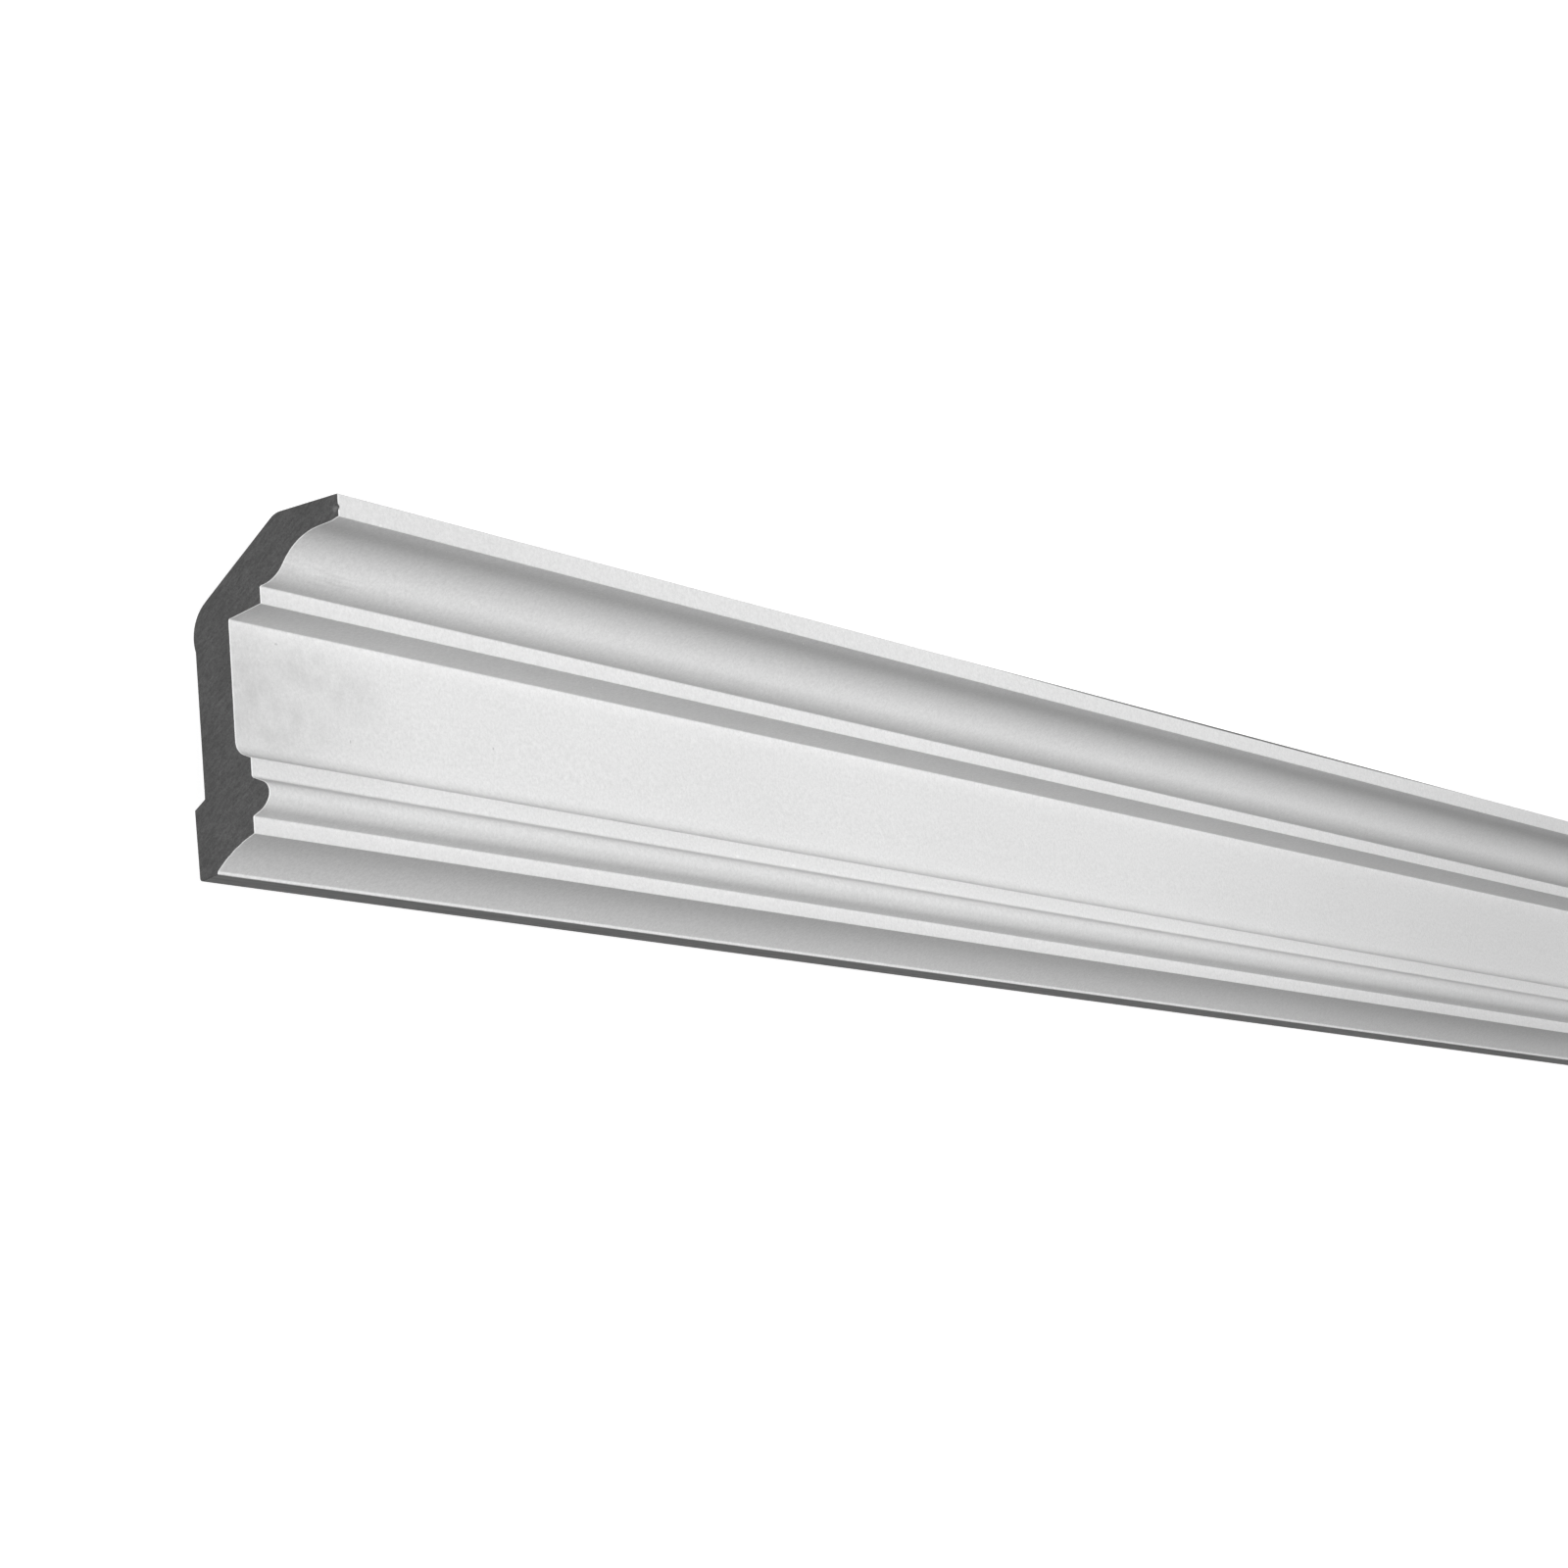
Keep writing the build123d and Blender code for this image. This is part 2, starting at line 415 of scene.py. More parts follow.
def add(tree, kind, inputs=None, **fields):
    """Adds a node with its fields set, and each input linked to a node or socket, or set to a value.

    A kind with no "Node" in it is a shader node's, so "Math" adds a ShaderNodeMath."""
    node = tree.nodes.new(kind if "Node" in kind else "ShaderNode" + kind)
    for name, value in fields.items():
        setattr(node, name, value)
    for key, value in (inputs or {}).items():
        if isinstance(value, bpy.types.Node):
            value = next(output for output in value.outputs if output.enabled)
        if isinstance(value, bpy.types.NodeSocket):
            tree.links.new(value, node.inputs[key])
        else:
            node.inputs[key].default_value = value
    return node


def rgba(values):
    """A colour with full alpha, as a colour socket takes it."""
    return (*values, 1)


def material(name):
    """A new material, its node tree, and a function that adds a node to that tree."""
    made = bpy.data.materials.new(name)
    made.use_nodes = True
    return made, made.node_tree, partial(add, made.node_tree)


def finished(made, tree, surface):
    """The material with a new surface shader that has those inputs."""
    tree.nodes.remove(tree.nodes["Principled BSDF"])
    shader = add(tree, "BsdfPrincipled", surface)
    tree.links.new(shader.outputs[0], tree.nodes["Material Output"].inputs["Surface"])
    return made


def lengthwise(tree, spacing, stretch=1.0):
    """Inputs of a pattern of that spacing, drawn that many times longer along X."""
    at = add(tree, "TexCoord").outputs["Object"]
    at = add(tree, "Mapping", {"Vector": at, "Scale": (1 / stretch, 1, 1)})
    return {"Vector": at, "Scale": 1 / spacing}


def sawn_way(tree, f, stretch):
    """Inputs of a pattern as fine as the saw's marks, drawn that many times longer along them."""
    at = add(tree, "TexCoord").outputs["Object"]
    at = add(tree, "Mapping", {"Vector": at, "Rotation": (f.kerf_turn, 0, 0)})
    at = add(tree, "Mapping", {"Vector": at, "Scale": (1, 1 / stretch, 1)})
    return {"Vector": at, "Scale": 1 / f.kerf}


def spots(tree, spacing, radius, share):
    """1 in round spots about that far apart, of which only a share show."""
    cells = add(tree, "TexVoronoi", lengthwise(tree, spacing))
    chance = add(tree, "SeparateColor", {0: cells.outputs["Color"]})
    shown = add(tree, "Math", {0: chance, 1: share}, operation="LESS_THAN")
    rim = {0: cells, 1: 0.6 * radius / spacing, 2: radius / spacing, 3: 1.0, 4: 0.0}
    spot = add(tree, "MapRange", rim)
    return add(tree, "Math", {0: spot, 1: shown}, operation="MULTIPLY")


def marks(tree, lie, places, gone=0.0, full=1.0):
    """How strongly the marks show, from 0 to 1.

    Nearness is 1 in the middle of a mark and 0 at its reach along and across. A mark is gone up to
    one nearness and full from another."""
    at = add(tree, "TexCoord").outputs["Object"]
    nearest = 0.0
    for x, out, up, reach_along, reach_across in places:
        reach = [r * MM for r in (reach_along, reach_across, reach_across)]
        away = add(tree, "VectorMath", {0: at, 1: lie.mark(x, out, up)}, operation="SUBTRACT")
        scaled = add(tree, "VectorMath", {0: away, 1: reach}, operation="DIVIDE")
        share = add(tree, "VectorMath", {0: scaled}, operation="LENGTH")
        nearness = add(tree, "Math", {0: 1.0, 1: share}, operation="SUBTRACT")
        nearest = add(tree, "Math", {0: nearest, 1: nearness}, operation="MAXIMUM")
    return add(tree, "MapRange", {0: nearest, 1: gone, 2: full, 3: 0.0, 4: 1.0})


# Materials

# Marks that the photograph shows, each as millimetres along from the near end, out and up in the
# section, and its reach along and across
SMUDGES = ((7, 17.9, 58, 17, 15), (19, 17.5, 44, 29, 11), (33, 18, 63.5, 20, 8), (54, 17.9, 58, 15, 10))
NEAR_END_GREYING = ((0, 17.7, 48, 85, 45),)
BRUSHED = ((18, 39.5, 83, 26, 5),)
SPECKS = ((20, 18.2, 68.7, 0.9, 0.4), (51, 17.5, 43.7, 0.4, 0.7), (120, 17.6, 50, 0.5, 0.5))
RUNS = (
    (18.3, 61.5, 93.5, 0.8, 0.6),
    (55.9, 61.5, 93.2, 0.9, 0.5),
    (243, 22.4, 27.2, 1.2, 0.5),
    (277, 22.4, 27.4, 1.2, 0.5),
)
DARK_ARRIS_LINE = ((560, 61.7, 100.1, 290, 1.3),)
BRUISES = ((0, 60.2, 95.6, 2, 1.1),)

WHITE = (1, 1, 1)
# Sizes of the patterns that the panel doesn't show
PRIMER_CLOUD = 60 * MM
BRUSH_STREAK = 0.9 * MM
SMEAR = 9 * MM
PINHOLE_SPACING = 8 * MM
PINHOLE_RADIUS = 0.24 * MM
FOAM_CELL = 0.6 * MM
FOAM_CLOUD = 9 * MM
FLOW_MARK = 5 * MM
SKIN_CLOUD = 45 * MM
BUBBLE_SPACING = 6 * MM
BUBBLE_RADIUS = 0.7 * MM
TRIM_STREAK = 0.5 * MM
TRIM_PATCH = 4 * MM
# Width over which the painted highlight on the cut edge of the coat turns into the rest
RIM_HIGHLIGHT_FADE = 0.15 * MM


def primer_material(f, ends, lie):
    """Acrylic primer sprayed on a moulded polyurethane skin.

    It is matt white, and close up it shows the grain and ripple of a sprayed coat. The steep faces,
    which turn away from the lamps overhead, are drawn greyer: this is painted shade, and partly the
    thinner coat that the spray left there. A pinhole shows here and there where a bubble broke the
    skin. By the sawn end it is smudged by hands, with a few brush marks, the fascia is drawn greyer
    towards the near end, and the cut edge of the coat is a painted highlight."""
    made, tree, node = material("white_primer_sprayed")
    cloud = node("TexNoise", lengthwise(tree, PRIMER_CLOUD, 3) | {"Detail": 3.0})
    # A spray grain is nearer 0.1 mm. It is drawn this coarse because a finer one would not show
    grain = node("TexNoise", lengthwise(tree, f.grain) | {"Detail": 4.0, "Roughness": 0.85})
    peel = node("TexNoise", lengthwise(tree, f.peel) | {"Detail": 2.0})
    cloudy = node("MapRange", {0: cloud, 1: 0.3, 2: 0.7, 3: 0.965, 4: 1.0})
    grainy = node("MapRange", {0: grain, 1: 0.3, 2: 0.7, 3: -0.11, 4: 0.11})
    shade = node("Math", {0: cloudy, 1: grainy}, operation="ADD")
    # Brush marks by the end, which are streaks of thicker and thinner coat
    streaks = node("TexNoise", lengthwise(tree, BRUSH_STREAK, 12) | {"Detail": 2.0})
    streaks = node("MapRange", {0: streaks, 1: 0.35, 2: 0.65, 3: -0.09, 4: 0.09})
    brushed = marks(tree, lie, BRUSHED)
    shade = node("Math", {0: streaks, 1: brushed, 2: shade}, operation="MULTIPLY_ADD")

    # Painted shade: faces that turn away from the lamps overhead are mixed towards the thin primer's grey.
    # Partly this is the thinner coat, as the spray came from in front, which is from above as the moulding
    # lies
    facing = node("SeparateXYZ", {0: node("TexCoord").outputs["Normal"]})
    steep = node("MapRange", {0: facing.outputs["Z"], 1: 0.15, 2: 0.8, 3: 1.0, 4: 0.0})
    coat = node("Mix", {0: steep, 6: rgba(f.primer), 7: rgba(f.thin)}, data_type="RGBA")
    coat = node("Mix", {0: 1.0, 6: coat, 7: shade}, data_type="RGBA", blend_type="MULTIPLY")

    smeared = node("TexNoise", lengthwise(tree, SMEAR) | {"Detail": 5.0, "Roughness": 0.65})
    smeared = node("MapRange", {0: smeared, 1: 0.35, 2: 0.7, 3: 0.0, 4: 0.36})
    smudged = node("Math", {0: smeared, 1: marks(tree, lie, SMUDGES, 0.0, 0.6)}, operation="MULTIPLY")
    # A broad patch of the fascia is drawn greyer towards the near end
    near_end_greying = node("Math", {0: marks(tree, lie, NEAR_END_GREYING), 1: 0.28}, operation="MULTIPLY")
    smudged = node("Math", {0: smudged, 1: near_end_greying}, operation="ADD", use_clamp=True)
    runs = marks(tree, lie, RUNS, 0.0, 0.5)
    thick = node("Math", {0: runs, 1: 0.6}, operation="MULTIPLY")
    pinholes = spots(tree, PINHOLE_SPACING, PINHOLE_RADIUS, 0.4)
    specks = marks(tree, lie, SPECKS, 0.0, 0.5)
    holes = node("Math", {0: pinholes, 1: specks}, operation="MAXIMUM")
    dark = node("Math", {0: holes, 1: 0.4}, operation="MULTIPLY")
    # Round each end the cut edge of the coat is drawn near white, a painted highlight along the edge
    at = node("SeparateXYZ", {0: node("TexCoord").outputs["Object"]})
    along = node("Math", {0: at}, operation="ABSOLUTE")
    inner = lie.half - ends.coat_round - ends.waver
    rim = node("MapRange", {0: along, 1: inner, 2: inner + RIM_HIGHLIGHT_FADE, 3: 0.0, 4: 1.0})
    # Along part of the ceiling edge the arris is drawn in the foam's dark grey, as a thin dark line
    bare = marks(tree, lie, DARK_ARRIS_LINE, 0.15, 0.45)
    over = ((smudged, f.smudge), (thick, WHITE), (dark, f.pinhole), (rim, f.cut), (bare, f.foam))
    for share, tone in over:
        coat = node("Mix", {0: share, 6: coat, 7: rgba(tone)}, data_type="RGBA")

    height = node("Math", {0: grain, 1: 0.5, 2: peel}, operation="MULTIPLY_ADD")
    height = node("Math", {0: height, 1: runs}, operation="ADD")
    height = node("Math", {0: height, 1: holes}, operation="SUBTRACT")
    bump = node("Bump", {"Strength": 0.6, "Distance": 0.07 * MM, "Height": height})
    roughness = node("MapRange", {0: grain, 1: 0.3, 2: 0.7, 3: 0.68, 4: 0.8})
    surface = {"Base Color": coat, "Roughness": roughness, "IOR": 1.5, "Normal": bump}
    return finished(made, tree, surface)


def sawn_material(f, lie):
    """Rigid polyurethane foam, sawn across.

    The blade leaves fine slanting marks and opens the cells, so it is dull, dark and speckled."""
    made, tree, node = material("polyurethane_foam_sawn")
    marked = node("TexNoise", sawn_way(tree, f, 4) | {"Detail": 3.0, "Roughness": 0.6})
    # A cell is nearer 0.2 mm. It is drawn this coarse because a finer one would not show
    cells = node("TexNoise", lengthwise(tree, FOAM_CELL) | {"Detail": 3.0, "Roughness": 0.7})
    cloud = node("TexNoise", lengthwise(tree, FOAM_CLOUD) | {"Detail": 2.0})
    streaky = node("MapRange", {0: marked, 1: 0.35, 2: 0.68, 3: 0.15, 4: 0.5})
    speckled = node("MapRange", {0: cells, 1: 0.35, 2: 0.7, 3: -0.05, 4: 0.35})
    pale = node("Math", {0: streaky, 1: speckled}, operation="ADD")
    cloudy = node("MapRange", {0: cloud, 1: 0.3, 2: 0.7, 3: 0.8, 4: 1.1})
    pale = node("Math", {0: pale, 1: cloudy}, operation="MULTIPLY", use_clamp=True)
    foam = node("Mix", {0: pale, 6: rgba(f.foam), 7: rgba(f.foam_pale)}, data_type="RGBA")
    bruised = node("Math", {0: marks(tree, lie, BRUISES, 0.0, 0.6), 1: 0.8}, operation="MULTIPLY")
    foam = node("Mix", {0: bruised, 6: foam, 7: rgba(f.edge)}, data_type="RGBA")
    height = node("Math", {0: marked, 1: cells}, operation="ADD")
    bump = node("Bump", {"Strength": 0.5, "Distance": 0.12 * MM, "Height": height})
    surface = {"Base Color": foam, "Roughness": 0.9, "IOR": 1.45, "Normal": bump}
    return finished(made, tree, surface)


def skin_material(f):
    """Polyurethane skin of the bare back, as it came from the mould.

    It is grey and smoother than the sawn foam, with a low sheen, flow marks along the length, and
    bubbles that broke at the surface."""
    made, tree, node = material("polyurethane_skin_moulded")
    flow = node("TexNoise", lengthwise(tree, FLOW_MARK, 25) | {"Detail": 4.0, "Roughness": 0.6})
    cloud = node("TexNoise", lengthwise(tree, SKIN_CLOUD, 3) | {"Detail": 3.0})
    flowing = node("MapRange", {0: flow, 1: 0.3, 2: 0.7, 3: 0.0, 4: 0.35})
    cloudy = node("MapRange", {0: cloud, 1: 0.3, 2: 0.7, 3: 0.0, 4: 0.3})
    pale = node("Math", {0: flowing, 1: cloudy}, operation="ADD")
    skin = node("Mix", {0: pale, 6: rgba(f.skin), 7: rgba(f.edge)}, data_type="RGBA")
    bubbles = spots(tree, BUBBLE_SPACING, BUBBLE_RADIUS, 0.4)
    dark = node("Math", {0: bubbles, 1: 0.8}, operation="MULTIPLY")
    skin = node("Mix", {0: dark, 6: skin, 7: rgba(f.foam)}, data_type="RGBA")
    height = node("Math", {0: flow, 1: bubbles}, operation="SUBTRACT")
    bump = node("Bump", {"Strength": 0.5, "Distance": 0.2 * MM, "Height": height})
    roughness = node("MapRange", {0: flow, 1: 0.3, 2: 0.7, 3: 0.5, 4: 0.7})
    surface = {"Base Color": skin, "Roughness": roughness, "IOR": 1.5, "Normal": bump}
    return finished(made, tree, surface)


def edge_material(f):
    """Thin primer over the trimmed lower edge.

    The trimming tool leaves long streaks, and the grey foam shows through the thin coat."""
    made, tree, node = material("primer_thin_on_trimmed_edge")
    streaks = node("TexNoise", lengthwise(tree, TRIM_STREAK, 60) | {"Detail": 3.0, "Roughness": 0.6})
    worn = node("TexNoise", lengthwise(tree, TRIM_PATCH, 10) | {"Detail": 2.0})
    streaky = node("MapRange", {0: streaks, 1: 0.35, 2: 0.65, 3: 0.0, 4: 0.6})
    patchy = node("MapRange", {0: worn, 1: 0.3, 2: 0.7, 3: 0.0, 4: 0.25})
    share = node("Math", {0: streaky, 1: patchy}, operation="ADD")
    coat = node("Mix", {0: share, 6: rgba(f.edge), 7: rgba(f.skin)}, data_type="RGBA")
    bump = node("Bump", {"Strength": 0.4, "Distance": 0.08 * MM, "Height": streaks})
    surface = {"Base Color": coat, "Roughness": 0.8, "IOR": 1.5, "Normal": bump}
    return finished(made, tree, surface)


# Moulding

CAP_EPSILON = 1e-7
END_REACH = 4 * MM
WAVER_LENGTH = 6 * MM
NICK_GRAIN = 0.8 * MM
SHARP_ANGLE = math.radians(30)
ARRIS_TURN = math.radians(8)
# How far a facet's point may be off its place, and must be off the rim, as shares of a facet
FACET_JOG = 0.3
FACET_CLEARANCE = 0.6
# Only the end rings are further off the middle than this share of the length
END_SHARE = 0.4999
# A face's value is the mean of its corners', and is over these where all or some of them have it
ALL_CORNERS = 0.999
SOME_CORNERS = 0.25


def new_object(name, data):
    """A new object in the scene that holds that mesh, lamp or camera."""
    made = bpy.data.objects.new(name, data)
    bpy.context.scene.collection.objects.link(made)
    return made


def geometry_tree(name, **inputs):
    """A geometry tree, a function that adds a node to it, and the sockets of its named inputs."""
    tree = bpy.data.node_groups.new(name, "GeometryNodeTree")
    for socket, kind in {"Geometry": "Geometry", **inputs}.items():
        tree.interface.new_socket(socket, in_out="INPUT", socket_type="NodeSocket" + kind)
    tree.interface.new_socket("Geometry", in_out="OUTPUT", socket_type="NodeSocketGeometry")
    return tree, partial(add, tree), add(tree, "NodeGroupInput").outputs


def sweep_tree(primer, edge, skin, sawn):
    """The section swept along the length, with its rings crowded towards the ends, where it is worn."""
    tree, node, given = geometry_tree(
        "Cornice sweep", length="Float", rings="Int", coat_width="Float", coat_round="Float"
    )
    half = node("Math", {0: given["length"], 1: 0.5}, operation="MULTIPLY")
    minus_half = node("Math", {0: half, 1: -1.0}, operation="MULTIPLY")
    start = node("CombineXYZ", {"X": minus_half})
    end = node("CombineXYZ", {"X": half})
    line = node("GeometryNodeCurvePrimitiveLine", {"Start": start, "End": end})
    rail = node("GeometryNodeResampleCurve", {"Curve": line, "Count": given["rings"]})

    # The rings are spaced as points evenly round a half circle are when it is seen edge on
    last = node("Math", {0: given["rings"], 1: 1.0}, operation="SUBTRACT")
    share = node("Math", {0: node("GeometryNodeInputIndex"), 1: last}, operation="DIVIDE")
    angle = node("Math", {0: share, 1: math.pi}, operation="MULTIPLY")
    cosine = node("Math", {0: angle}, operation="COSINE")
    crowded = node("Math", {0: cosine, 1: minus_half}, operation="MULTIPLY")
    # Every ring but the last at each end stays clear of the coat's rounding
    inner = node("Math", {0: half, 1: given["coat_round"]}, operation="SUBTRACT")
    minus_inner = node("Math", {0: inner, 1: -1.0}, operation="MULTIPLY")
    clear = node("Clamp", {"Value": crowded, "Min": minus_inner, "Max": inner})
    off_middle = node("Math", {0: share, 1: 0.5}, operation="SUBTRACT")
    off_middle = node("Math", {0: off_middle}, operation="ABSOLUTE")
    at_end = node("Math", {0: off_middle, 1: END_SHARE}, operation="GREATER_THAN")
    x = node("GeometryNodeSwitch", {0: at_end, 1: clear, 2: crowded}, input_type="FLOAT")
    place = node("CombineXYZ", {"X": x})
    rail = node("GeometryNodeSetPosition", {"Geometry": rail, "Position": place})
    noted = {"Geometry": rail, "Name": "at_end", "Value": at_end}
    rail = node("GeometryNodeStoreNamedAttribute", noted, data_type="FLOAT")

    profile = node("GeometryNodeMeshToCurve", {"Mesh": given["Geometry"]})
    swept = node("GeometryNodeCurveToMesh", {"Curve": rail, "Profile Curve": profile})
    at_end, primed, under = (
        node("GeometryNodeInputNamedAttribute", {"Name": name}, data_type="FLOAT")
        for name in ("at_end", "primed", "under")
    )
    # The end rings draw in by the coat's width, which leaves its cut edge as a rim
    inward = node("GeometryNodeInputNamedAttribute", {"Name": "inward"}, data_type="FLOAT_VECTOR")
    inset = node("VectorMath", {0: inward, "Scale": given["coat_width"]}, operation="SCALE")
    end_ring = node("Math", {0: at_end, 1: 0.5}, operation="GREATER_THAN")
    swept = node("GeometryNodeSetPosition", {"Geometry": swept, "Selection": end_ring, "Offset": inset})
    swept = node("GeometryNodeRealizeInstances", {"Geometry": swept})

    # Each material covers those before it
    in_face = node("Math", {0: primed, 1: ALL_CORNERS}, operation="GREATER_THAN")
    in_under = node("Math", {0: under, 1: ALL_CORNERS}, operation="GREATER_THAN")
    in_rim = node("Math", {0: at_end, 1: SOME_CORNERS}, operation="GREATER_THAN")
    for made, where in ((skin, True), (edge, in_under), (sawn, in_rim), (primer, in_face)):
        parts = {"Geometry": swept, "Selection": where, "Material": made}
        swept = node("GeometryNodeSetMaterial", parts)
    node("NodeGroupOutput", {"Geometry": swept})
    return tree


def applied(name, mesh, tree, **inputs):
    """A new mesh made by running a geometry tree on a mesh, with the tree's inputs set by name."""
    obj = new_object(name, mesh)
    modifier = obj.modifiers.new("Shape", "NODES")
    modifier.node_group = tree
    for item in tree.interface.items_tree:
        if item.in_out == "INPUT" and item.name in inputs:
            modifier[item.identifier] = inputs[item.name]
    made = evaluated(obj)
    bpy.data.objects.remove(obj)
    return made


def evaluated(obj):
    """A plain mesh of an object with its modifiers applied."""
    depsgraph = bpy.context.evaluated_depsgraph_get()
    depsgraph.update()
    return bpy.data.meshes.new_from_object(obj.evaluated_get(depsgraph), depsgraph=depsgraph)


def turn_at(outline, i):
    """How far the outline turns left at a point."""
    after = outline[(i + 1) % len(outline)]
    angle = heading_of(outline[i], after) - heading_of(outline[i - 1], outline[i])
    return (angle + math.pi) % (2 * math.pi) - math.pi


def profile_mesh(outline, zones, lie):
    """The outline as a closed loop of edges, drawn as the sweep takes it, with each point's values."""
    count = len(outline)
    mesh = bpy.data.meshes.new("cornice_profile")
    laid = [lie.point(p) for p in outline]
    mesh.from_pydata([(-p.x, -p.y, 0) for p in laid], [(i, (i + 1) % count) for i in range(count)], [])
    inward = []
    for i in range(count):
        before = (laid[i] - laid[i - 1]).normalized()
        after = (laid[(i + 1) % count] - laid[i]).normalized()
        mean = (before + after).normalized()
        grow = 1 / max(0.5, mean.dot(after))
        inward += [0, mean.y * grow, -mean.x * grow]
    mesh.attributes.new("inward", "FLOAT_VECTOR", "POINT").data.foreach_set("vector", inward)
    values = {
        "primed": [float("face" in (zones[i], zones[i - 1])) for i in range(count)],
        "under": [float("under" in (zones[i], zones[i - 1])) for i in range(count)],
        "arris": [float(turn_at(outline, i) > ARRIS_TURN) for i in range(count)],
    }
    for name, value in values.items():
        mesh.attributes.new(name, "FLOAT", "POINT").data.foreach_set("value", value)
    return mesh


def end_loop(bm, x):
    """The vertices of the open end nearest x, in order round the hole."""
    edges = [e for e in bm.edges if e.is_boundary and abs(e.verts[0].co.x - x) < MM]
    at = edges[0]
    loop = [at.verts[0]]
    vertex = at.verts[1]
    while vertex is not loop[0]:
        loop.append(vertex)
        at = next(e for e in vertex.link_edges if e.is_boundary and e is not at)
        vertex = at.other_vert(vertex)
    return loop


def inside(point, ring):
    """True if a point is within a closed ring of points."""
    odd = False
    for a, b in zip(ring, ring[1:] + ring[:1]):
        if (a.y > point.y) != (b.y > point.y):
            crossing = a.x + (point.y - a.y) / (b.y - a.y) * (b.x - a.x)
            odd = odd != (point.x < crossing)
    return odd


def close_end(bm, x, facet, chance, index):
    """Closes an open end with a skin of even facets, so that it can take the blade's waver and the nick."""
    loop = end_loop(bm, x)
    ring = [Vector((v.co.y, v.co.z)) for v in loop]
    low = Vector((min(p.x for p in ring), min(p.y for p in ring)))
    high = Vector((max(p.x for p in ring), max(p.y for p in ring)))
    inner = []
    for i in range(int((high.x - low.x) / facet) + 1):
        for j in range(int((high.y - low.y) / facet) + 1):
            jog = Vector([chance.uniform(-FACET_JOG, FACET_JOG) for axis in range(2)])
            p = low + (Vector((i + 0.5 * (j % 2), j)) + jog) * facet
            if inside(p, ring) and min((p - q).length for q in ring) > FACET_CLEARANCE * facet:
                inner.append(p)
    edges = [(i, (i + 1) % len(ring)) for i in range(len(ring))]
    border = [list(range(len(ring)))]
    points, _, faces, sources, _, _ = delaunay_2d_cdt(ring + inner, edges, border, 1, CAP_EPSILON)
    verts = []
    for p, source in zip(points, sources):
        known = source and source[0] < len(ring)
        verts.append(loop[source[0]] if known else bm.verts.new((x, p.x, p.y)))
    for face in faces:
        made = bm.faces.new([verts[i] for i in face])
        made.material_index = index
        made.smooth = True


def faded(distance, reach):
    """1 at no distance, falling smoothly to 0 at that reach."""
    share = min(1.0, distance / reach)
    return (1 - share * share) ** 2


def wear_ends(bm, ends, lie, front):
    """Lets the blade waver over both ends, and breaks the nick out of the front of the near one."""
    nick = lie.point(Vector((front, ends.nick_height)))
    for vertex in bm.verts:
        at = vertex.co
        end = math.copysign(1, at.x)
        depth = lie.half - abs(at.x)
        if depth > END_REACH:
            continue
        field = Vector((end * ends.seed, at.y / WAVER_LENGTH, at.z / WAVER_LENGTH))
        cut = (0.5 + 0.5 * random_field(field)) * ends.waver
        if end < 0:
            away = Vector((at.y, at.z)) - nick
            rough = 1 + 0.5 * random_field(Vector((at.y, at.z, 0)) / NICK_GRAIN)
            cut += ends.nick_depth * faded(away.length, ends.nick_spread) * rough
        at.x -= end * cut * (1 - depth / END_REACH) ** 2


class CORNICE_OT_moulding(bpy.types.Operator):
    """Sweep the section along the length, close and wear its sawn ends, and coat its face"""

    bl_idname = "cornice.moulding"
    bl_label = "Moulding"

    def execute(self, context):
        given = context.scene.cornice
        ends, finish = given.ends, given.finish
        low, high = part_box(NODE)
        half = (high.x - low.x) / 2
        outline, zones = section_outline(given.section)
        lie = Lie(outline, lean_of(given.section), half)
        primer = primer_material(finish, ends, lie)
        sawn = sawn_material(finish, lie)
        swept = applied(
            "cornice_sweep",
            profile_mesh(outline, zones, lie),
            sweep_tree(primer, edge_material(finish), skin_material(finish), sawn),
            length=2 * half,
            rings=ends.rings,
            coat_width=ends.coat_width,
            coat_round=ends.coat_round,
        )
        bm = bmesh.new()
        bm.from_mesh(swept)
        chance = random.Random(ends.seed)
        index = list(swept.materials).index(sawn)
        for x in (-half, half):
            close_end(bm, x, ends.facet, chance, index)
        bmesh.ops.recalc_face_normals(bm, faces=bm.faces)
        wear_ends(bm, ends, lie, max(p.x for p in outline))
        bm.to_mesh(swept)
        bm.free()
        swept.set_sharp_from_angle(angle=SHARP_ANGLE)
        piece = new_object("cornice_moulding", swept)
        # Flat faces keep their own shading where they meet the small rounds of the arrises
        shading = piece.modifiers.new("Shading", "WEIGHTED_NORMAL")
        shading.keep_sharp = True
        piece.data = evaluated(piece)
        piece.modifiers.clear()
        piece.data.name = "cornice_moulding"
        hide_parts(NODE)
        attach(piece, BODY)
        return {"FINISHED"}


# Nibs

NIB_RINGS = 4
NIB_SEGMENTS = 6
NIB_FLATNESS = 0.7
# Nibs off the arrises, as a share of those on them
NIB_SCATTER = 0.05
NIB_CLEARANCE = 0.8 * MM


